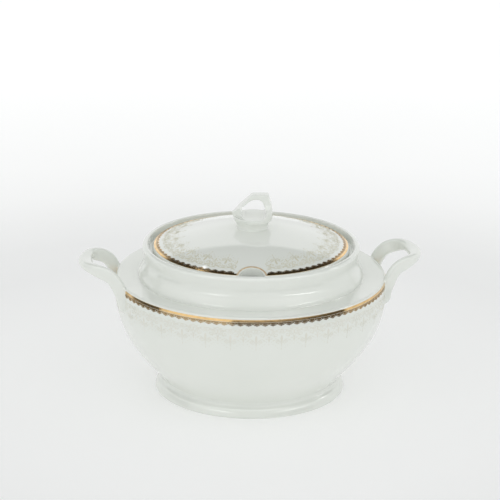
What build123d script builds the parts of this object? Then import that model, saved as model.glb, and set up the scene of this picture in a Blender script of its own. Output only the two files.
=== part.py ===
"""Lidded soup tureen in glazed white porcelain, with a slot in the lid for the ladle.

Millimetres, +Z up.  The origin is the middle of the face that the foot stands on.
X runs through the two handles, and the ladle slot opens towards -Y.
"""
import math
import os

from build123d import *

os.makedirs("parts", exist_ok=True)

# ---------------------------------------------------------------- driving dimensions
# foot
foot_radius = 86.0
foot_height = 10.4
foot_wall = 7.0
foot_rounding = 1.1
stand_width = 3.7

# bowl
waist_radius = 79.2
shoulder_radius = 121.3
shoulder_height = 107.9
shoulder_rounding = 1.7
belly_low = (91.4, 28.6)
belly_high = (128.8, 54.3)
collar_radius = 101.6
collar_height = 106.9
neck_radius = 96.4
neck_height = 124.2
lip_radius = 97.8
lip_height = 135.8
mouth_radius = 92.8
wall = 4.6
floor_thickness = 5.2

# ledge inside the mouth, which the lid rests on
ledge_height = 129.2
ledge_radius = 84.6
ledge_thickness = 3.4

# lid
lid_radius = 88.8
lid_gap = 0.3
lid_edge_height = 133.6
lid_top_height = 151.2
lid_thickness = 4.4
flange_radius = 82.4
flange_wall = 3.6
flange_depth = 8.5
lid_turn = -7.6

# ladle slot in the edge of the lid
notch_radius = 11.3
notch_corner = 4.0

# knob
knob_stem_radius = 14.6
knob_cup_radius = 17.9
knob_cup_height = 162.0
knob_top_height = 181.9
knob_shift = 0.9
knob_root_height = 148.0
knob_loop_base = 158.0

# fired-on decoration
film = 0.25
gold_drop = 0.2
gold_width = 2.2
lace_width = 3.3
print_gap = 0.8
scroll_width = 22.0
lid_gold_width = 1.9
lid_lace_width = 3.3
lid_scroll_width = 25.0
notch_line_width = 1.3
notch_margin = 1.0
lid_gold_margin = 1.4

# ---------------------------------------------------------------- derived places
wall_top = shoulder_height - shoulder_rounding
lid_seat = ledge_height + lid_gap
dome_rise = lid_top_height - lid_edge_height
dome_radius = (lid_radius**2 + dome_rise**2) / (2 * dome_rise)
dome_center = lid_top_height - dome_radius
lid_plane = Plane.XY.rotated((0, 0, lid_turn))
knob_plane = Plane.XZ.rotated((0, 0, lid_turn))
knob_floor = lid_plane.move(Location(lid_plane.x_dir * knob_shift))
knob_side = knob_plane.move(Location(lid_plane.x_dir * knob_shift))


def dome_height(radius, lift=0.0):
    """Height of the lid's top surface, or of a film on it, at a distance from the axis."""
    return dome_center + math.sqrt((dome_radius + lift) ** 2 - radius**2)


def belly_curve(lift=0.0):
    """Side of the bowl from the waist to the shoulder, or a film's outer face on it."""
    return Bezier(
        (waist_radius + lift, foot_height),
        (belly_low[0] + lift, belly_low[1]),
        (belly_high[0] + lift, belly_high[1]),
        (shoulder_radius + lift, wall_top),
    )


def outer_outline():
    """Outside of the bowl, from the waist up over the shoulder and collar to the lip."""
    belly = belly_curve()
    edge = RadiusArc(belly @ 1, (shoulder_radius - shoulder_rounding, shoulder_height), -shoulder_rounding)
    shoulder = Line(edge @ 1, (collar_radius, collar_height))
    collar = Spline(
        [shoulder @ 1, (98.9, 114.6), (neck_radius, neck_height), (lip_radius, lip_height - 3.2)],
        tangents=[(-0.05, 1), (0.12, 1)],
    )
    return collar @ 1


# ---------------------------------------------------------------- bowl
# the outside filled in, used to trim what is fixed to it
with BuildPart() as bowl_blank:
    with BuildSketch(Plane.XZ):
        with BuildLine():
            lip_start = outer_outline()
            Line(lip_start, (0, lip_start.Y))
            Line((0, lip_start.Y), (0, foot_height))
            Line((0, foot_height), (waist_radius, foot_height))
        make_face()
    revolve(axis=Axis.Z)

with BuildPart() as bowl:
    with BuildSketch(Plane.XZ):
        with BuildLine():
            lip_start = outer_outline()
            lip = ThreePointArc(lip_start, (lip_radius - 1.0, lip_height - 0.9), (lip_radius - 2.6, lip_height))
            lip_flat = Line(lip @ 1, (mouth_radius + 1.2, lip_height))
            lip_inside = RadiusArc(lip_flat @ 1, (mouth_radius, lip_height - 1.2), -1.2)
            mouth = Line(lip_inside @ 1, (mouth_radius - 0.8, ledge_height))
            ledge = Line(mouth @ 1, (ledge_radius, ledge_height))
            ledge_edge = Line(ledge @ 1, (ledge_radius, ledge_height - ledge_thickness))
            throat = Spline(
                [ledge_edge @ 1, (92.6, 114.6), (97.0, 104.9)],
                tangents=[(0.35, -1), (0.15, -1)],
            )
            under_shoulder = Spline(
                [throat @ 1, (104.0, 102.5), (shoulder_radius - wall - 0.1, 95.3)],
                tangents=[(0.4, -1), (0.05, -1)],
            )
            inside = Bezier(
                under_shoulder @ 1,
                (123.4, 52.0),
                (88.0, foot_height + floor_thickness + 1.0),
                (56.0, foot_height + floor_thickness),
            )
            floor_top = Line(inside @ 1, (0, foot_height + floor_thickness))
            Line(floor_top @ 1, (0, foot_height))
            Line((0, foot_height), (waist_radius, foot_height))
        make_face()
    revolve(axis=Axis.Z)
bowl.part.label = "bowl"
export_step(bowl.part, "parts/bowl.step")

# ---------------------------------------------------------------- foot ring
with BuildPart() as foot_ring:
    with BuildSketch(Plane.XZ):
        with BuildLine():
            Line((waist_radius - foot_wall, foot_height), (waist_radius, foot_height))
            flare = Bezier(
                (waist_radius, foot_height),
                (waist_radius + 3.4, foot_height - 2.0),
                (foot_radius - 1.0, foot_height - 5.4),
                (foot_radius, foot_rounding),
            )
            toe = RadiusArc(flare @ 1, (foot_radius - foot_rounding, 0), foot_rounding)
            stand = Line(toe @ 1, (foot_radius - foot_rounding - stand_width, 0))
            heel = RadiusArc(stand @ 1, stand @ 1 + Vector(-foot_rounding, foot_rounding), foot_rounding)
            Line(heel @ 1, (waist_radius - foot_wall, foot_height))
        make_face()
    revolve(axis=Axis.Z)
foot_ring.part.label = "foot_ring"
export_step(foot_ring.part, "parts/foot_ring.step")

# ---------------------------------------------------------------- handles
# One leg of the strap, from inside the wall to the tip.  Each row is the distance out from
# the axis, the distance from the handle's middle plane, the height, and the strap's
# thickness and height there.
leg_sections = [
    (113.5, 33.6, 87.0, 5.0, 9.0),
    (117.6, 33.0, 96.5, 5.4, 12.0),
    (120.8, 31.8, 104.8, 5.2, 12.2),
    (124.0, 30.6, 111.3, 5.0, 12.0),
    (128.3, 29.0, 116.4, 5.0, 12.0),
    (134.6, 26.8, 119.8, 5.2, 12.2),
    (141.8, 22.4, 122.0, 6.8, 10.8),
    (147.2, 12.8, 122.8, 10.2, 8.6),
    (149.1, 0.0, 122.9, 12.2, 7.4),
]


def strap(side, name):
    """One loop handle: both legs and the tip as a single strap, trimmed to the bowl."""
    front = [(out, -spread, up, thick, tall) for out, spread, up, thick, tall in leg_sections]
    back = [(out, spread, up, thick, tall) for out, spread, up, thick, tall in reversed(leg_sections[:-1])]
    rows = front + back
    centers = [Vector(side * out, spread, up) for out, spread, up, thick, tall in rows]
    with BuildPart() as handle:
        for index, row in enumerate(rows):
            before = centers[max(index - 1, 0)]
            after = centers[min(index + 1, len(rows) - 1)]
            along = (after - before).normalized()
            across = along.cross(Vector(0, 0, 1)).normalized()
            thick = row[3]
            tall = row[4]
            with BuildSketch(Plane(origin=centers[index], x_dir=across, z_dir=along)):
                RectangleRounded(thick, tall, 0.4 * min(thick, tall))
        loft()
        add(bowl_blank.part, mode=Mode.SUBTRACT)
    handle.part.label = name
    export_step(handle.part, f"parts/{name}.step")
    return handle.part


handle_left = strap(-1, "handle_left")
handle_right = strap(1, "handle_right")

# ---------------------------------------------------------------- decoration on the bowl


def wall_film(name, high, low):
    """A thin fired-on band round the outside of the bowl, between two heights."""
    with BuildPart() as band:
        with BuildSketch(Plane.XZ):
            with BuildLine():
                outside = belly_curve(film)
                Line(outside @ 1, (0, wall_top))
                Line((0, wall_top), (0, foot_height))
                Line((0, foot_height), outside @ 0)
            make_face()
        revolve(axis=Axis.Z)
        with BuildSketch(Plane.XY.offset(low)):
            Circle(shoulder_radius + wall)
        extrude(amount=high - low, mode=Mode.INTERSECT)
        add(bowl_blank.part, mode=Mode.SUBTRACT)
        add(handle_left, mode=Mode.SUBTRACT)
        add(handle_right, mode=Mode.SUBTRACT)
    band.part.label = name
    export_step(band.part, f"parts/{name}.step")


gold_top = wall_top - gold_drop
lace_top = gold_top - gold_width
scroll_top = lace_top - lace_width - print_gap
wall_film("bowl_gold_band", gold_top, lace_top)
wall_film("bowl_lace_border", lace_top, lace_top - lace_width)
wall_film("bowl_scroll_print", scroll_top, scroll_top - scroll_width)


# ---------------------------------------------------------------- lid
mouth_center = lid_plane.from_local_coords(Vector(0, -lid_radius, 0))


def notch_cutter(grow):
    """Outline of the ladle slot in plan, larger than the slot by a margin."""
    with BuildSketch(lid_plane) as cutter:
        with Locations((0, -lid_radius)):
            Circle(notch_radius)
        with Locations((0, -lid_radius - 10)):
            Rectangle(6 * notch_radius, 20)
        corners = cutter.vertices().filter_by(lambda point: point.distance_to(mouth_center) < notch_radius + 0.5)
        fillet(corners, notch_corner)
        if grow > 0:
            offset(amount=grow)
    return cutter.sketch


with BuildPart() as lid:
    with BuildSketch(Plane.XZ):
        with BuildLine():
            top = ThreePointArc(
                (0, lid_top_height),
                (lid_radius / 2, dome_height(lid_radius / 2)),
                (lid_radius - 1.2, dome_height(lid_radius - 1.2)),
            )
            rim = ThreePointArc(top @ 1, (lid_radius - 0.2, lid_edge_height - 0.9), (lid_radius, lid_edge_height - 2.0))
            edge = Line(rim @ 1, (lid_radius - 0.6, lid_seat))
            seat = Line(edge @ 1, (flange_radius, lid_seat))
            flange = Line(seat @ 1, (flange_radius - 0.8, lid_seat - flange_depth))
            flange_end = Line(flange @ 1, (flange_radius - flange_wall, lid_seat - flange_depth))
            hollow = Bezier(
                flange_end @ 1,
                (flange_radius - flange_wall - 1.5, lid_seat + 4.5),
                (40, lid_top_height - lid_thickness),
                (0, lid_top_height - lid_thickness),
            )
            Line(hollow @ 1, (0, lid_top_height))
        make_face()
    revolve(axis=Axis.Z)
    add(notch_cutter(0))
    extrude(amount=2 * lid_top_height, mode=Mode.SUBTRACT)
lid.part.label = "lid"
export_step(lid.part, "parts/lid.step")

# ---------------------------------------------------------------- knob
# the loop over the cup: its front view, cut to its side view and to the cup's round plan
with BuildPart() as knob_loop:
    with BuildSketch(knob_plane):
        with BuildLine():
            base = Line((-15.0, knob_loop_base), (knob_shift + 17.4, knob_loop_base))
            right = Spline(
                [base @ 1, (18.2, 165.0), (16.6, 174.0), (14.7, knob_top_height - 1.6)],
                tangents=[(0.25, 1), (-0.1, 1)],
            )
            corner = ThreePointArc(right @ 1, (14.1, knob_top_height - 0.4), (12.9, knob_top_height))
            top = Line(corner @ 1, (1.0, knob_top_height))
            turn = TangentArc(top @ 1, (-1.9, knob_top_height - 1.5), tangent=(-1, 0))
            slope = Line(turn @ 1, (-13.4, 169.0))
            tip = Spline([slope @ 1, (-18.4, 165.2)], tangents=[(-1, -1), (-1, -0.4)])
            chin = ThreePointArc(tip @ 1, (-18.8, 164.8), (-18.5, 164.2))
            Line(chin @ 1, base @ 0)
        make_face()
        with BuildLine():
            sill = Line((-6.5, knob_cup_height), (9.0, knob_cup_height))
            hole_right = Spline(
                [sill @ 1, (11.8, 166.5), (9.2, 174.6)],
                tangents=[(1, 0.2), (-0.5, 1)],
            )
            hole_top = Spline(
                [hole_right @ 1, (5.6, 177.2), (-2.4, 175.9), (-8.2, 171.6), (-10.4, 166.8)],
                tangents=[(-0.5, 1), (-0.2, -1)],
            )
            Spline([hole_top @ 1, sill @ 0], tangents=[(-0.2, -1), (1, -0.2)])
        make_face(mode=Mode.SUBTRACT)
    extrude(amount=2 * knob_cup_radius, both=True)
    with BuildSketch(knob_plane.rotated((0, 0, 90))):
        with BuildLine():
            wide = Line((knob_cup_radius, knob_loop_base), (knob_cup_radius, knob_cup_height))
            narrow = Spline(
                [wide @ 1, (9.0, 169.5), (4.4, knob_top_height + 1)],
                tangents=[(-0.6, 1), (-0.15, 1)],
            )
            Line(narrow @ 1, (0, knob_top_height + 1))
            mirror(about=Plane.YZ)
            Line((-knob_cup_radius, knob_loop_base), (knob_cup_radius, knob_loop_base))
        make_face()
    extrude(amount=3 * knob_cup_radius, both=True, mode=Mode.INTERSECT)
    with BuildSketch(knob_floor):
        with BuildLine():
            back_bow = CenterArc((0, 0), knob_cup_radius, -90, 180)
            beak_back = Spline(
                [back_bow @ 1, (-9.0, 11.6), (-19.8, 0.8)],
                tangents=[(-1, 0), (-1, -0.55)],
            )
            beak = Line(beak_back @ 1, (-19.8, -0.8))
            Spline(
                [beak @ 1, (-9.0, -11.6), back_bow @ 0],
                tangents=[(1, -0.55), (1, 0)],
            )
        make_face()
    extrude(amount=knob_top_height, mode=Mode.INTERSECT)

# the turned stem and the dished cup on it
with BuildPart() as lid_knob:
    with BuildSketch(knob_side):
        with BuildLine():
            base = Line((0, knob_root_height), (knob_stem_radius, knob_root_height))
            side = Spline(
                [base @ 1, (knob_stem_radius - 0.2, 154.0), (knob_cup_radius, knob_cup_height - 0.8)],
                tangents=[(0, 1), (0.4, 1)],
            )
            rim = ThreePointArc(
                side @ 1,
                (knob_cup_radius - 0.8, knob_cup_height),
                (knob_cup_radius - 1.8, knob_cup_height - 0.5),
            )
            dish = ThreePointArc(rim @ 1, (9.5, knob_cup_height - 2.2), (0, knob_cup_height - 2.8))
            Line(dish @ 1, base @ 0)
        make_face()
    revolve(axis=Axis(knob_floor.origin, (0, 0, 1)))
    add(knob_loop.part)
    add(lid.part, mode=Mode.SUBTRACT)
lid_knob.part.label = "lid_knob"
export_step(lid_knob.part, "parts/lid_knob.step")


# ---------------------------------------------------------------- decoration on the lid
def lid_film(name, outer, inner):
    """A thin fired-on ring on top of the lid, broken by the ladle slot."""
    middle = (outer + inner) / 2
    with BuildPart() as ring:
        with BuildSketch(Plane.XZ):
            with BuildLine():
                under = ThreePointArc(
                    (inner, dome_height(inner)),
                    (middle, dome_height(middle)),
                    (outer, dome_height(outer)),
                )
                over = ThreePointArc(
                    (outer, dome_height(outer, film)),
                    (middle, dome_height(middle, film)),
                    (inner, dome_height(inner, film)),
                )
                Line(under @ 1, over @ 0)
                Line(over @ 1, under @ 0)
            make_face()
        revolve(axis=Axis.Z)
        add(notch_cutter(notch_margin + notch_line_width))
        extrude(amount=2 * lid_top_height, mode=Mode.SUBTRACT)
    ring.part.label = name
    export_step(ring.part, f"parts/{name}.step")


lid_gold_outer = lid_radius - lid_gold_margin
lid_lace_outer = lid_gold_outer - lid_gold_width
lid_scroll_outer = lid_lace_outer - lid_lace_width - print_gap
lid_film("lid_gold_band", lid_gold_outer, lid_lace_outer)
lid_film("lid_lace_border", lid_lace_outer, lid_lace_outer - lid_lace_width)
lid_film("lid_scroll_print", lid_scroll_outer, lid_scroll_outer - lid_scroll_width)

# the gold line that follows the edge of the ladle slot
with BuildPart() as notch_gold_line:
    with BuildSketch(Plane.XZ):
        with BuildLine():
            under = ThreePointArc(
                (0, dome_height(0)),
                (lid_gold_outer / 2, dome_height(lid_gold_outer / 2)),
                (lid_gold_outer, dome_height(lid_gold_outer)),
            )
            over = ThreePointArc(
                (lid_gold_outer, dome_height(lid_gold_outer, film)),
                (lid_gold_outer / 2, dome_height(lid_gold_outer / 2, film)),
                (0, dome_height(0, film)),
            )
            Line(under @ 1, over @ 0)
            Line(over @ 1, under @ 0)
        make_face()
    revolve(axis=Axis.Z)
    add(notch_cutter(notch_margin + notch_line_width))
    extrude(amount=2 * lid_top_height, mode=Mode.INTERSECT)
    add(notch_cutter(notch_margin))
    extrude(amount=2 * lid_top_height, mode=Mode.SUBTRACT)
notch_gold_line.part.label = "notch_gold_line"
export_step(notch_gold_line.part, "parts/notch_gold_line.step")
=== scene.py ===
"""Porcelain soup tureen: glaze, gold lines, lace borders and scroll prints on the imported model.

Sizes on the object are in millimetres, and turn into metres where a point is placed.  On a
decorated surface, u runs round it, and v runs across it from the gold line.
"""
import math

import bmesh
import bpy
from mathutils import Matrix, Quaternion, Vector


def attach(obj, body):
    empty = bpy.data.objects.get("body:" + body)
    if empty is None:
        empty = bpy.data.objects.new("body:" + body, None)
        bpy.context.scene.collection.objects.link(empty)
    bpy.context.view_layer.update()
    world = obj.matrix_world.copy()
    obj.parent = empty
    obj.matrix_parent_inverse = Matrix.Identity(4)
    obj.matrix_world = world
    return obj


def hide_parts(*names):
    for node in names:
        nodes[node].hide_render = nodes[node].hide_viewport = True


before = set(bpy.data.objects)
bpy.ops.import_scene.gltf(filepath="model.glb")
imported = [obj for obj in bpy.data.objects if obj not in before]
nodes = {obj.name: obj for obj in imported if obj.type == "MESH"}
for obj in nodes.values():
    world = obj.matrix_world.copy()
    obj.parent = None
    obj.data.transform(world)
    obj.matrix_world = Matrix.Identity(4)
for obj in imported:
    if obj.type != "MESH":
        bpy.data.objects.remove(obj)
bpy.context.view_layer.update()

MM = 0.001

# ---------------------------------------------------------------- dimensions, in millimetres
WAIST = (79.2, 10.4)
BELLY = [WAIST, (91.4, 28.6), (128.8, 54.3), (121.3, 106.2)]
SHOULDER_HEIGHT = 107.9
FOOT_RADIUS = 86.0
FOOT_ROUNDING = 1.1
LACE_START_HEIGHT = 103.8
LACE_PITCH = 7.05
LID_TOP = 151.2
LID_RADIUS = 88.8
LID_EDGE = 133.6
LID_LACE_RADIUS = 85.5
LID_TURN = math.radians(-7.6)
NOTCH_RADIUS = 11.3
NOTCH_MARGIN = 3.4
STRAP_INSIDE = math.radians(13.2)
STRAP_OUTSIDE = math.radians(17.2)
SPRAY_PITCH = 22.5
SPRAY_LINE = 0.62

# the relief of the decoration: its top above the glaze, and its underside below it
FILM = 0.22
PRINT_FILM = FILM * 0.5
SUNK = -0.12

# how much of a thin shape's width is its flat top, inside the eased edges
RIBBON_TOP = 0.72
PATCH_TOP = 0.82

# how far the hidden backing of a softened piece lies below the surface that the piece grows from
SINK = 0.14


# ---------------------------------------------------------------- decorated surfaces
def bezier(points, t):
    s = 1 - t
    weights = (s**3, 3 * s * s * t, 3 * s * t * t, t**3)
    return tuple(sum(w * p[k] for w, p in zip(weights, points)) for k in (0, 1))


class Belly:
    """Outside of the bowl: angle round the axis, and distance down from the gold line."""

    def __init__(self):
        self.table = []
        length = 0.0
        before = None
        for i in range(401):
            t = 1 - i / 400
            point = bezier(BELLY, t)
            if point[1] > LACE_START_HEIGHT:
                before = point
                continue
            length += math.dist(point, before)
            before = point
            ahead = bezier(BELLY, max(t - 0.002, 0))
            behind = bezier(BELLY, min(t + 0.002, 1))
            tangent = Vector((ahead[0] - behind[0], ahead[1] - behind[1])).normalized()
            self.table.append((length, point[0], point[1], -tangent.y, tangent.x))
        start = self.table[0][0]
        self.table = [(row[0] - start,) + row[1:] for row in self.table]
        self.radius = self.table[0][1]

    def place(self, angle, down, lift):
        down = max(down, 0.0)
        low, high = 0, len(self.table) - 1
        while high - low > 1:
            middle = (low + high) // 2
            if self.table[middle][0] > down:
                high = middle
            else:
                low = middle
        a, b = self.table[low], self.table[high]
        f = (down - a[0]) / (b[0] - a[0])
        radius, height, out, up = (a[k] + (b[k] - a[k]) * f for k in (1, 2, 3, 4))
        radius += out * lift
        height += up * lift
        return Vector((radius * math.cos(angle), radius * math.sin(angle), height)) * MM


class Dome:
    """Top of the lid: angle round the axis, and distance in from the gold line."""

    def __init__(self):
        rise = LID_TOP - LID_EDGE
        self.ball = (LID_RADIUS**2 + rise**2) / (2 * rise)
        self.start = math.asin(LID_LACE_RADIUS / self.ball)
        self.radius = LID_LACE_RADIUS

    def height(self, tilt, lift):
        return LID_TOP - self.ball + (self.ball + lift) * math.cos(tilt)

    def place(self, angle, inward, lift):
        tilt = self.start - inward / self.ball
        radius = (self.ball + lift) * math.sin(tilt)
        height = self.height(tilt, lift)
        return Vector((radius * math.cos(angle), radius * math.sin(angle), height)) * MM


# ---------------------------------------------------------------- handing pieces over to their bodies
def linked(name, data):
    made = bpy.data.objects.new(name, data)
    bpy.context.scene.collection.objects.link(made)
    return made


def hand_over(made, body, replaced):
    """A finished piece rides on its body and stands in for a node, which is hidden."""
    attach(made, body)
    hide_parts(replaced)


def bridge(mesh, a, b):
    """Faces between two neighbouring closed rings with the same number of corners."""
    count = len(a)
    for k in range(count):
        mesh.faces.new((a[k], a[(k + 1) % count], b[(k + 1) % count], b[k]))


# ---------------------------------------------------------------- laying out thin shapes
class Sheet:
    """Collects thin closed shapes drawn on one surface, all with the same relief.

    The origin is the angle where u is 0, and the margin moves everything across the surface.
    """

    def __init__(self, surface, film, origin=0.0, margin=0.0):
        self.surface = surface
        self.film = film
        self.origin = origin
        self.margin = margin
        self.mesh = bmesh.new()

    def at(self, u, v, lift):
        return self.surface.place(self.origin + u / self.surface.radius, v + self.margin, lift)

    def ribbon(self, path, width, taper=None):
        """A strip along a path, with its upper edges eased."""
        rings = []
        count = len(path)
        for i, (u, v) in enumerate(path):
            before = path[max(i - 1, 0)]
            after = path[min(i + 1, count - 1)]
            du, dv = after[0] - before[0], after[1] - before[1]
            size = math.hypot(du, dv) or 1.0
            nu, nv = -dv / size, du / size
            half = width / 2
            if taper:
                half *= taper(i / (count - 1))
            top = half * RIBBON_TOP
            rings.append([
                self.mesh.verts.new(self.at(u + nu * half, v + nv * half, SUNK)),
                self.mesh.verts.new(self.at(u + nu * top, v + nv * top, self.film)),
                self.mesh.verts.new(self.at(u - nu * top, v - nv * top, self.film)),
                self.mesh.verts.new(self.at(u - nu * half, v - nv * half, SUNK)),
            ])
        for a, b in zip(rings, rings[1:]):
            bridge(self.mesh, a, b)
        self.mesh.faces.new(rings[0][::-1])
        self.mesh.faces.new(rings[-1])

    def patch(self, outline):
        """A flat shape with eased edges, from its outline."""
        cu = sum(p[0] for p in outline) / len(outline)
        cv = sum(p[1] for p in outline) / len(outline)
        low = [self.mesh.verts.new(self.at(u, v, SUNK)) for u, v in outline]
        inner = [(cu + (u - cu) * PATCH_TOP, cv + (v - cv) * PATCH_TOP) for u, v in outline]
        rim = [self.mesh.verts.new(self.at(u, v, self.film)) for u, v in inner]
        bridge(self.mesh, low, rim)
        self.mesh.faces.new(rim)
        self.mesh.faces.new(low[::-1])

    def dot(self, u, v, radius, sides=8):
        turns = [2 * math.pi * k / sides for k in range(sides)]
        self.patch([(u + radius * math.cos(a), v + radius * math.sin(a)) for a in turns])

    def leaf(self, u, v, heading, length, width, sides=7):
        """A pointed leaf from its stem end."""
        c, s = math.cos(heading), math.sin(heading)
        edge = []
        for side in (1, -1):
            steps = range(sides) if side > 0 else range(sides, 0, -1)
            for k in steps:
                f = k / sides
                across = side * width / 2 * math.sin(math.pi * f**0.8)
                edge.append((u + c * length * f - s * across, v + s * length * f + c * across))
        self.patch(edge)

    def piece(self, name, material, body, replaced):
        bmesh.ops.recalc_face_normals(self.mesh, faces=self.mesh.faces[:])
        data = bpy.data.meshes.new(name)
        self.mesh.to_mesh(data)
        self.mesh.free()
        data.materials.append(material)
        hand_over(linked(name, data), body, replaced)


# ---------------------------------------------------------------- materials
def new_material(name):
    material = bpy.data.materials.new(name)
    material.use_nodes = True
    tree = material.node_tree
    return material, tree, tree.nodes["Principled BSDF"]


def noise(tree, scale, detail=3.0):
    coords = tree.nodes.new("ShaderNodeTexCoord")
    texture = tree.nodes.new("ShaderNodeTexNoise")
    texture.inputs["Scale"].default_value = scale
    texture.inputs["Detail"].default_value = detail
    texture.inputs["Roughness"].default_value = 0.5
    tree.links.new(coords.outputs["Object"], texture.inputs["Vector"])
    return texture.outputs["Fac"]


def ramp(tree, source, stops):
    node = tree.nodes.new("ShaderNodeValToRGB")
    elements = node.color_ramp.elements
    while len(elements) < len(stops):
        elements.new(0.5)
    for element, (position, color) in zip(elements, stops):
        element.position = position
        element.color = (*color, 1.0)
    tree.links.new(source, node.inputs["Fac"])
    return node.outputs["Color"]


def spread(tree, source, low, high):
    node = tree.nodes.new("ShaderNodeMapRange")
    node.inputs["To Min"].default_value = low
    node.inputs["To Max"].default_value = high
    tree.links.new(source, node.inputs["Value"])
    return node.outputs["Result"]


def bump(tree, shader, source, distance, strength):
    node = tree.nodes.new("ShaderNodeBump")
    node.inputs["Strength"].default_value = strength
    node.inputs["Distance"].default_value = distance
    tree.links.new(source, node.inputs["Height"])
    tree.links.new(node.outputs["Normal"], shader.inputs["Normal"])


def porcelain():
    material, tree, shader = new_material("porcelain_glaze")
    tone = ramp(tree, noise(tree, 14.0), [(0.3, (0.795, 0.818, 0.77)), (0.7, (0.825, 0.843, 0.80))])
    tree.links.new(tone, shader.inputs["Base Color"])
    tree.links.new(spread(tree, noise(tree, 40.0), 0.03, 0.07), shader.inputs["Roughness"])
    shader.inputs["IOR"].default_value = 1.5
    shader.inputs["Coat Weight"].default_value = 0.35
    shader.inputs["Coat Roughness"].default_value = 0.02
    bump(tree, shader, noise(tree, 22.0, 1.0), 0.0003, 0.3)
    return material


def gold(name, color, low, high):
    """Fired gold, with its roughness between two values."""
    material, tree, shader = new_material(name)
    dark = tuple(c * 0.82 for c in color)
    tone = ramp(tree, noise(tree, 120.0), [(0.35, dark), (0.65, color)])
    tree.links.new(tone, shader.inputs["Base Color"])
    shader.inputs["Metallic"].default_value = 1.0
    tree.links.new(spread(tree, noise(tree, 400.0, 4.0), low, high), shader.inputs["Roughness"])
    bump(tree, shader, noise(tree, 900.0, 2.0), 0.00004, 0.5)
    return material


def pearl(name, low, high):
    """The pale lustre of the scroll prints, between two tones."""
    material, tree, shader = new_material(name)
    tone = ramp(tree, noise(tree, 60.0), [(0.3, low), (0.7, high)])
    tree.links.new(tone, shader.inputs["Base Color"])
    tree.links.new(spread(tree, noise(tree, 300.0), 0.12, 0.28), shader.inputs["Roughness"])
    bump(tree, shader, noise(tree, 700.0, 2.0), 0.00003, 0.4)
    return material


def worn_gold():
    """The line round the ladle slot: thin gold, rubbed pale and matt by the ladle."""
    material, tree, shader = new_material("worn_gold")
    tone = ramp(tree, noise(tree, 300.0), [(0.35, (0.66, 0.47, 0.28)), (0.65, (0.86, 0.70, 0.48))])
    tree.links.new(tone, shader.inputs["Base Color"])
    shader.inputs["Metallic"].default_value = 0.35
    tree.links.new(spread(tree, noise(tree, 400.0), 0.25, 0.4), shader.inputs["Roughness"])
    return material


glaze = porcelain()
bright_gold = gold("bright_gold", (0.86, 0.60, 0.30), 0.08, 0.18)
lace_gold = gold("lace_gold", (0.52, 0.38, 0.21), 0.12, 0.24)
lid_print = pearl("lid_pearl_print", (0.62, 0.60, 0.47), (0.70, 0.68, 0.56))
bowl_print = pearl("bowl_pearl_print", (0.74, 0.735, 0.66), (0.79, 0.785, 0.715))

node_materials = dict.fromkeys(("bowl", "foot_ring", "handle_left", "handle_right", "lid", "lid_knob"), glaze)
node_materials["bowl_gold_band"] = bright_gold
node_materials["lid_gold_band"] = bright_gold
node_materials["notch_gold_line"] = worn_gold()
for name, material in node_materials.items():
    nodes[name].data.materials.clear()
    nodes[name].data.materials.append(material)

# ---------------------------------------------------------------- where decoration runs
belly = Belly()
dome = Dome()
notch_half = math.asin((NOTCH_RADIUS + NOTCH_MARGIN) / LID_LACE_RADIUS)
LID_ORIGIN = LID_TURN - math.pi / 2
LID_SPAN = (notch_half, 2 * math.pi - notch_half)


def bowl_spans():
    """The stretches of the bowl's decoration: between the two ends of a handle, and between handles."""
    for middle in (0.0, math.pi):
        yield middle - STRAP_INSIDE, middle + STRAP_INSIDE
        yield middle + STRAP_OUTSIDE, middle + math.pi - STRAP_OUTSIDE


def repeats(span, radius, pitch):
    """Where whole repeats start in a span, and how wide each one is."""
    first, last = span
    count = max(round((last - first) * radius / pitch), 1)
    step = (last - first) * radius / count
    return [first * radius + k * step for k in range(count)], step


# ---------------------------------------------------------------- lace borders
LACE_TOP = 0.95
LACE_DROP = 1.65


def scallop(f):
    """How deep a scallop hangs, from 0 at its sides to 1 at its middle."""
    return math.sin(math.pi * f) ** 0.8


def arc(width, depth, top, steps=12):
    """One scallop's curve, from its left side to its right."""
    return [(width * k / steps, top + depth * scallop(k / steps)) for k in range(steps + 1)]


def lace(sheet, start, width):
    """One repeat of the lace: a line, two scalloped arcs, spokes between them, and a dot."""
    def shifted(points, inset=0.0):
        return [(start + inset + u, v) for u, v in points]

    sheet.ribbon(shifted([(0, 0.5), (width / 2, 0.5), (width, 0.5)]), 1.05)
    sheet.ribbon(shifted(arc(width, LACE_DROP, LACE_TOP)), 0.66)
    sheet.ribbon(shifted(arc(width * 0.56, 0.7, 0.9, 8), width * 0.22), 0.5)
    for f in (0.2, 0.35, 0.5, 0.65, 0.8):
        lean = (f - 0.5) * width * 0.5
        end = (width * f, LACE_TOP + LACE_DROP * scallop(f))
        sheet.ribbon(shifted([(width / 2 + lean * 0.8, 0.9), end]), 0.42)
    sheet.dot(start + width / 2, 2.85, 0.45, sides=10)


def lace_run(sheet, span):
    starts, width = repeats(span, sheet.surface.radius, LACE_PITCH)
    for start in starts:
        lace(sheet, start, width)


bowl_lace = Sheet(belly, FILM)
for span in bowl_spans():
    lace_run(bowl_lace, span)
bowl_lace.piece("bowl_lace", lace_gold, "tureen", "bowl_lace_border")

lid_lace = Sheet(dome, FILM, LID_ORIGIN)
lace_run(lid_lace, LID_SPAN)
lid_lace.piece("lid_lace", lace_gold, "lid", "lid_lace_border")


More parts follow.
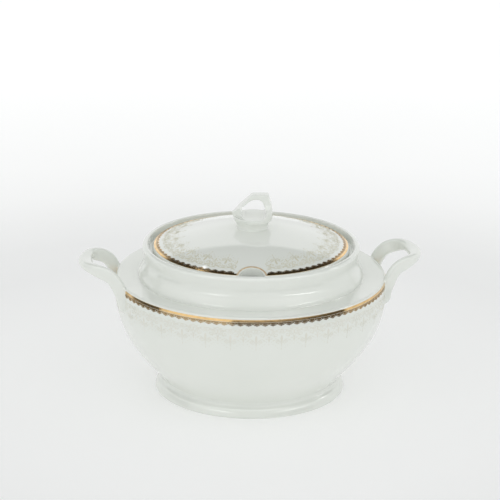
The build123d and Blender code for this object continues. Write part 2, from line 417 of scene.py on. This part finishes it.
# ---------------------------------------------------------------- scroll prints
def curl(sheet, u, v, size, start, way, turns, width=SPRAY_LINE):
    """A scroll that winds in to a bud; it starts at the angle `start` on its outer turn."""
    steps = 22
    points = []
    for k in range(steps + 1):
        f = k / steps
        angle = start + way * turns * 2 * math.pi * f
        radius = size * (1 - 0.86 * f**0.85)
        points.append((u + radius * math.cos(angle), v + radius * math.sin(angle)))
    sheet.ribbon(points, width, lambda f: 0.55 + 0.6 * math.sin(math.pi * min(1.2 * f, 1)))
    sheet.dot(*points[-1], 0.42 * width + 0.3)
    for f in (0.12, 0.3):
        a, b = points[round(f * steps)], points[round(f * steps) + 1]
        heading = math.atan2(b[1] - a[1], b[0] - a[0])
        sheet.leaf(*a, heading - way * 0.95, size * 0.52, size * 0.24, sides=5)


def bow(sheet, first, last, sag, width=SPRAY_LINE):
    """A curved line between two places, bulging to one side."""
    du, dv = last[0] - first[0], last[1] - first[1]
    points = []
    for k in range(11):
        f = k / 10
        out = 4 * sag * f * (1 - f) / (math.hypot(du, dv) or 1)
        points.append((first[0] + du * f - dv * out, first[1] + dv * f + du * out))
    sheet.ribbon(points, width, lambda f: 0.6 + 0.4 * math.sin(math.pi * f))


def ring(sheet, u, v, radius):
    turns = [2 * math.pi * k / 14 for k in range(15)]
    path = [(u + radius * math.cos(a), v + radius * math.sin(a)) for a in turns]
    sheet.ribbon(path, SPRAY_LINE)


def spray(sheet, middle, width, tall):
    """One repeat of the print: a plume over a pair of scrolls, with small sprigs between repeats."""
    half = width / 2
    up = math.pi / 2
    sheet.leaf(middle, tall * 0.30, up, tall * 0.40, tall * 0.11)
    sheet.dot(middle, tall * 0.78, 0.65)
    sheet.dot(middle, tall * 0.86, 0.45)
    sheet.leaf(middle, tall * 0.90, up, tall * 0.12, 0.9)
    ring(sheet, middle, tall * 0.17, tall * 0.07)
    sheet.dot(middle, tall * 0.17, 0.6)
    for way in (1, -1):
        facing = 0.0 if way > 0 else math.pi
        curl(sheet, middle + way * half * 0.44, tall * 0.30, half * 0.30, facing + math.pi, way, 1.4)
        curl(sheet, middle + way * half * 0.30, tall * 0.60, half * 0.21, facing + math.pi, -way, 1.3, 0.52)
        curl(sheet, middle + way * half * 0.76, tall * 0.17, half * 0.17, facing, -way, 1.2, 0.52)
        bow(sheet, (middle, tall * 0.08), (middle + way * half * 0.98, tall * 0.42), way * -2.2)
        bow(sheet, (middle + way * half * 0.52, tall * 0.48), (middle, tall * 0.80), way * 1.6, 0.5)
        bow(sheet, (middle + way * half * 0.62, tall * 0.05), (middle + way * half, tall * 0.02), way * 0.8)
        for f, size in ((0.52, 3.0), (0.72, 2.5), (0.88, 2.0)):
            place = (middle + way * half * f, tall * (0.52 - 0.30 * (f - 0.52)))
            sheet.leaf(*place, up - way * (0.5 + f), size, 0.95, sides=5)
            sheet.leaf(place[0], place[1] - tall * 0.1, -up + way * 0.8, size * 0.8, 0.8, sides=5)
        for f, v in ((0.80, 0.62), (0.68, 0.72), (0.50, 0.80), (0.30, 0.90)):
            sheet.dot(middle + way * half * f, tall * v, 0.42)
    sheet.leaf(middle + half, tall * 0.42, up, tall * 0.24, 1.5)
    sheet.dot(middle + half, tall * 0.74, 0.5)
    sheet.leaf(middle + half, tall * 0.30, -up, tall * 0.2, 1.3)


def spray_run(sheet, span, pitch, tall):
    starts, width = repeats(span, sheet.surface.radius, pitch)
    for start in starts:
        spray(sheet, start + width / 2, width, tall)


bowl_scroll = Sheet(belly, PRINT_FILM, margin=4.6)
for span in bowl_spans():
    spray_run(bowl_scroll, span, SPRAY_PITCH, 21.0)
bowl_scroll.piece("bowl_scrolls", bowl_print, "tureen", "bowl_scroll_print")

lid_scroll = Sheet(dome, PRINT_FILM, LID_ORIGIN, margin=4.8)
spray_run(lid_scroll, LID_SPAN, SPRAY_PITCH * 1.08, 22.5)
lid_scroll.piece("lid_scrolls", lid_print, "lid", "lid_scroll_print")


# ---------------------------------------------------------------- pieces softened by the glaze
def cut(mesh, outline, angle):
    """An outline of radii and heights, stood up at an angle round the axis."""
    return [mesh.verts.new(Vector((r * math.cos(angle), r * math.sin(angle), z)) * MM) for r, z in outline]


def wedge(outline, middle, half_angle, steps=24):
    """A closed block: an outline swept round the axis between two angles."""
    mesh = bmesh.new()
    rings = [cut(mesh, outline, middle + half_angle * (2 * k / steps - 1)) for k in range(steps + 1)]
    for a, b in zip(rings, rings[1:]):
        bridge(mesh, a, b)
    mesh.faces.new(rings[0][::-1])
    mesh.faces.new(rings[-1])
    bmesh.ops.recalc_face_normals(mesh, faces=mesh.faces[:])
    return mesh


def softened(name, node, backing, body, voxel, rounds):
    """The node's shape joined to the surface it is stuck on, with every edge and joint rounded."""
    backing.from_mesh(nodes[node].data)
    rough = bpy.data.meshes.new(name + "_rough")
    backing.to_mesh(rough)
    backing.free()
    made = linked(name, rough)
    remesh = made.modifiers.new("remesh", "REMESH")
    remesh.mode = "VOXEL"
    remesh.voxel_size = voxel * MM
    smooth = made.modifiers.new("smooth", "SMOOTH")
    smooth.factor = 0.5
    smooth.iterations = rounds
    graph = bpy.context.evaluated_depsgraph_get()
    final = bpy.data.meshes.new_from_object(made.evaluated_get(graph))
    made.modifiers.clear()
    made.data = final
    bpy.data.meshes.remove(rough)
    final.name = name
    final.polygons.foreach_set("use_smooth", [True] * len(final.polygons))
    final.materials.clear()
    final.materials.append(glaze)
    hand_over(made, body, node)


# the bowl's wall behind a handle: up the belly, over the shoulder, and back down inside the wall
wall_outline = []
for k in range(15):
    radius, height = bezier(BELLY, 0.60 + 0.40 * k / 14)
    wall_outline.append((radius - SINK, height))
wall_outline += [
    (120.7, 107.3), (119.6, SHOULDER_HEIGHT - SINK), (109.0, 107.4 - SINK), (109.0, 102.8), (116.0, 101.8),
    (116.0, 76.0),
]
for side, middle in (("left", math.pi), ("right", 0.0)):
    wall = wedge(wall_outline, middle, math.radians(22))
    softened(f"soft_handle_{side}", f"handle_{side}", wall, "tureen", voxel=0.6, rounds=5)


def lathe(name, outline, node, body, steps=240):
    """A closed ring turned from an outline, in place of a node."""
    mesh = bmesh.new()
    rings = [cut(mesh, outline, 2 * math.pi * k / steps) for k in range(steps)]
    for a, b in zip(rings, rings[1:] + rings[:1]):
        bridge(mesh, a, b)
    bmesh.ops.recalc_face_normals(mesh, faces=mesh.faces[:])
    data = bpy.data.meshes.new(name)
    mesh.to_mesh(data)
    mesh.free()
    data.polygons.foreach_set("use_smooth", [True] * len(data.polygons))
    data.materials.append(glaze)
    hand_over(linked(name, data), body, node)


def foot_outline():
    """The foot, with the soft hollow that the glaze leaves where it meets the bowl."""
    start = bezier(BELLY, 0.075)
    ahead = bezier(BELLY, 0.055)
    blend_end = (82.2, 8.9)
    blend = [
        (start[0] - 0.22, start[1]),
        (ahead[0] - (start[0] - ahead[0]) * 0.6, ahead[1] - (start[1] - ahead[1]) * 0.6),
        (80.1, 10.4),
        blend_end,
    ]
    flare = [blend_end, (84.4, 7.6), (84.7, 5.4), (FOOT_RADIUS, FOOT_ROUNDING)]
    outline = [bezier(blend, k / 12) for k in range(13)]
    outline += [bezier(flare, k / 12) for k in range(1, 13)]
    for k in range(1, 7):
        a = math.pi / 2 * k / 6
        across = FOOT_RADIUS - FOOT_ROUNDING + FOOT_ROUNDING * math.cos(a)
        outline.append((across, FOOT_ROUNDING - FOOT_ROUNDING * math.sin(a)))
    # underneath: the standing face, the inside of the ring, and up into the bowl's floor
    return outline + [(81.2, 0.0), (80.4, 0.32), (80.1, 1.1), (72.2, 10.4), (72.2, 11.4), (78.0, 12.2)]


lathe("foot_glazed", foot_outline(), "foot_ring", "tureen")


def lid_disc():
    """The lid's shell under the knob, as a closed disc."""
    mesh = bmesh.new()
    radii = (7.0, 14.0, 20.0, 24.0)
    turns = [2 * math.pi * k / 40 for k in range(40)]
    rings = []
    for radius, lift in [(r, -SINK) for r in radii] + [(r, -3.0) for r in radii[::-1]]:
        height = dome.height(math.asin(radius / dome.ball), lift)
        rings.append([
            mesh.verts.new(Vector((radius * math.cos(a), radius * math.sin(a), height)) * MM) for a in turns
        ])
    for a, b in zip(rings, rings[1:]):
        bridge(mesh, a, b)
    mesh.faces.new(rings[0])
    mesh.faces.new(rings[-1])
    bmesh.ops.recalc_face_normals(mesh, faces=mesh.faces[:])
    return mesh


softened("soft_knob", "lid_knob", lid_disc(), "lid", voxel=0.42, rounds=4)

# ---------------------------------------------------------------- floor, in metres
FLOOR_RADIUS = 40.0
GLOW_REACH = 1.2
# how brightly the floor glows at a distance from the object, so that it runs into the backdrop; the glow is
# painted light, lifting the floor's shadow right by the object, with a dimmer ring a little further out left
# as painted shade
FLOOR_GLOW = (
    (0.1, 0.215), (0.25, 0.195), (0.36, 0.16), (0.44, 0.17), (0.51, 0.205), (0.61, 0.262),
    (0.73, 0.30), (0.96, 0.335), (1.2, 0.38),
)


def pale_floor():
    material, tree, shader = new_material("pale_floor")
    tone = ramp(tree, noise(tree, 1.5), [(0.3, (0.80, 0.80, 0.80)), (0.7, (0.82, 0.82, 0.82))])
    tree.links.new(tone, shader.inputs["Base Color"])
    shader.inputs["Roughness"].default_value = 0.7
    shader.inputs["Specular IOR Level"].default_value = 0.2
    coords = tree.nodes.new("ShaderNodeTexCoord")
    far = tree.nodes.new("ShaderNodeVectorMath")
    far.operation = "LENGTH"
    tree.links.new(coords.outputs["Object"], far.inputs[0])
    near = tree.nodes.new("ShaderNodeMath")
    near.operation = "MULTIPLY"
    near.inputs[1].default_value = 1 / GLOW_REACH
    tree.links.new(far.outputs["Value"], near.inputs[0])
    stops = [(distance / GLOW_REACH, (glow, glow, glow)) for distance, glow in FLOOR_GLOW]
    # painted light: the floor glows though it is no lamp, by its distance from the object, to lift its shadow
    # nearby and leave painted shade a little further out
    shader.inputs["Emission Color"].default_value = (1.0, 1.0, 1.0, 1.0)
    tree.links.new(ramp(tree, near.outputs["Value"], stops), shader.inputs["Emission Strength"])
    return material


floor_mesh = bmesh.new()
bmesh.ops.create_circle(floor_mesh, cap_ends=True, segments=96, radius=FLOOR_RADIUS)
floor_data = bpy.data.meshes.new("floor")
floor_mesh.to_mesh(floor_data)
floor_mesh.free()
floor_data.materials.append(pale_floor())
floor = linked("floor", floor_data)

# ---------------------------------------------------------------- studio light
AZIMUTH = math.radians(-7.65)
ELEVATION = math.radians(18.5)

# strengths of the wall and ceiling that glossy surfaces mirror, and the heights on the unit
# sphere between which one turns into the other; the ceiling's edge sags towards the sides
WALL, CEILING = 1.12, 0.04
CEILING_STARTS, CEILING_ENDS = 0.612, 0.655
SAG, SAG_LIMIT = 0.89, 0.2

# lamps: degrees right of the camera, degrees above level, half width and half height in
# degrees, softness of the edge, and strength
LAMPS = (
    (-36, 13.5, 13, 1.7, 0.8, 6.0),
    (54, 13.5, 16, 1.6, 0.8, 6.0),
    (104, 24, 7, 5.0, 0.5, 5.0),
    (0, 54, 50, 20, 0.4, 2.2),
    (-158.5, 51.2, 0.9, 0.9, 0.4, 6.0),
)
PANEL_ROUNDNESS = 2.6


def direction(side, up):
    """Unit vector towards a place seen from the object: degrees right of the camera, and above level."""
    a = AZIMUTH + math.radians(side)
    e = math.radians(up)
    return Vector((math.sin(a) * math.cos(e), -math.cos(a) * math.cos(e), math.sin(e)))


def rightwards(side):
    """Level unit vector to the right of one who looks from there at the object."""
    a = AZIMUTH + math.radians(side)
    return Vector((math.cos(a), math.sin(a), 0))


world = bpy.data.worlds.new("studio")
bpy.context.scene.world = world
world.use_nodes = True
sky = world.node_tree
sky_coords = sky.nodes.new("ShaderNodeTexCoord").outputs["Generated"]


def math_node(operation, a, b=None):
    node = sky.nodes.new("ShaderNodeMath")
    node.operation = operation
    for socket, value in zip(node.inputs, (a, b)):
        if isinstance(value, (int, float)):
            socket.default_value = value
        elif value is not None:
            sky.links.new(value, socket)
    return node.outputs["Value"]


def along(axis):
    node = sky.nodes.new("ShaderNodeVectorMath")
    node.operation = "DOT_PRODUCT"
    sky.links.new(sky_coords, node.inputs[0])
    node.inputs[1].default_value = axis
    return node.outputs["Value"]


def smooth_step(value, start, end, low, high):
    node = sky.nodes.new("ShaderNodeMapRange")
    node.interpolation_type = "SMOOTHSTEP"
    for name, number in (("From Min", start), ("From Max", end), ("To Min", low), ("To Max", high)):
        node.inputs[name].default_value = number
    sky.links.new(value, node.inputs["Value"])
    return node.outputs["Result"]


def panel(side, up, wide, tall, softness):
    """1 inside a rounded panel in that direction and 0 outside; sizes are half sizes in degrees."""
    forward = direction(side, up)
    sideways = rightwards(side)
    upwards = sideways.cross(forward) * -1
    x = math_node("DIVIDE", along(sideways), math.sin(math.radians(wide)))
    y = math_node("DIVIDE", along(upwards), math.sin(math.radians(tall)))
    powers = [math_node("POWER", math_node("ABSOLUTE", value), PANEL_ROUNDNESS) for value in (x, y)]
    far = math_node("POWER", math_node("ADD", *powers), 1 / PANEL_ROUNDNESS)
    mask = smooth_step(far, 1 - softness, 1 + softness, 1.0, 0.0)
    return math_node("MULTIPLY", mask, math_node("GREATER_THAN", along(forward), 0.0))


# what the glaze and the gold mirror: a bright wall under a dark ceiling, and soft lamps
height = along(Vector((0, 0, 1)))
across = along(rightwards(0))
sag = math_node("MINIMUM", math_node("MULTIPLY", across, across), SAG_LIMIT)
ceiling = math_node("ADD", height, math_node("MULTIPLY", sag, SAG))
mirrored = smooth_step(ceiling, CEILING_STARTS, CEILING_ENDS, WALL, CEILING)
mirrored = math_node("MULTIPLY", mirrored, smooth_step(height, 0.02, 0.22, 0.8, 1.0))
for *place, power in LAMPS:
    mirrored = math_node("ADD", mirrored, math_node("MULTIPLY", panel(*place), power))
seen = sky.nodes["Background"]
sky.links.new(mirrored, seen.inputs["Color"])

# what lights everything else: an even pale room, brighter on the camera's side and at the horizon
soft = sky.nodes.new("ShaderNodeBackground")
soft.inputs["Color"].default_value = (0.985, 1.0, 0.995, 1.0)
front = smooth_step(along(direction(0, 20)), 0.0, 1.0, 1.0, 1.12)
level = smooth_step(math_node("ABSOLUTE", height), 0.0, 0.16, 1.2, 1.0)
overhead = smooth_step(height, 0.35, 0.95, 0.86, 0.70)
sky.links.new(math_node("MULTIPLY", math_node("MULTIPLY", front, level), overhead), soft.inputs["Strength"])

paths = sky.nodes.new("ShaderNodeLightPath")
either = sky.nodes.new("ShaderNodeMixShader")
sky.links.new(paths.outputs["Is Glossy Ray"], either.inputs["Fac"])
sky.links.new(soft.outputs["Background"], either.inputs[1])
sky.links.new(seen.outputs["Background"], either.inputs[2])
sky.links.new(either.outputs["Shader"], sky.nodes["World Output"].inputs["Surface"])


def flag(name, side, span, distance, tall):
    """A dark card standing on the floor, which only mirror-like surfaces see; sizes in metres."""
    mesh = bmesh.new()
    low, high = [], []
    for k in range(13):
        foot = direction(side + span * (k / 12 - 0.5), 0) * distance
        low.append(mesh.verts.new(foot))
        high.append(mesh.verts.new(foot + Vector((0, 0, tall))))
    for k in range(12):
        mesh.faces.new((low[k], low[k + 1], high[k + 1], high[k]))
    data = bpy.data.meshes.new(name)
    mesh.to_mesh(data)
    mesh.free()
    material, tree, shader = new_material(name)
    tone = ramp(tree, noise(tree, 2.0), [(0.3, (0.035, 0.035, 0.04)), (0.7, (0.05, 0.05, 0.055))])
    tree.links.new(tone, shader.inputs["Base Color"])
    data.materials.append(material)
    card = linked(name, data)
    card.visible_camera = False
    card.visible_diffuse = False
    card.visible_shadow = False


flag("dark_card_right", 31, 88, 0.5, 0.072)
flag("dark_card_left", -88, 34, 0.55, 0.098)

# ---------------------------------------------------------------- camera, in metres
CAMERA_DISTANCE = 2.1051
CAMERA_ROLL = math.radians(0.678)
AIM_RIGHT = -0.00097
AIM_HEIGHT = 0.12861

camera_data = bpy.data.cameras.new("camera")
camera_data.lens = 168.4
camera_data.sensor_width = 36.0
camera_data.clip_end = 200.0
camera = linked("camera", camera_data)
scene = bpy.context.scene
scene.camera = camera
back = direction(0, math.degrees(ELEVATION))
aim = rightwards(0) * AIM_RIGHT + Vector((0, 0, AIM_HEIGHT))
camera.location = aim + back * CAMERA_DISTANCE
camera.rotation_mode = "QUATERNION"
turned = (-back).to_track_quat("-Z", "Y")
turned.rotate(Quaternion(back, CAMERA_ROLL))
camera.rotation_quaternion = turned
scene.view_settings.view_transform = "Standard"
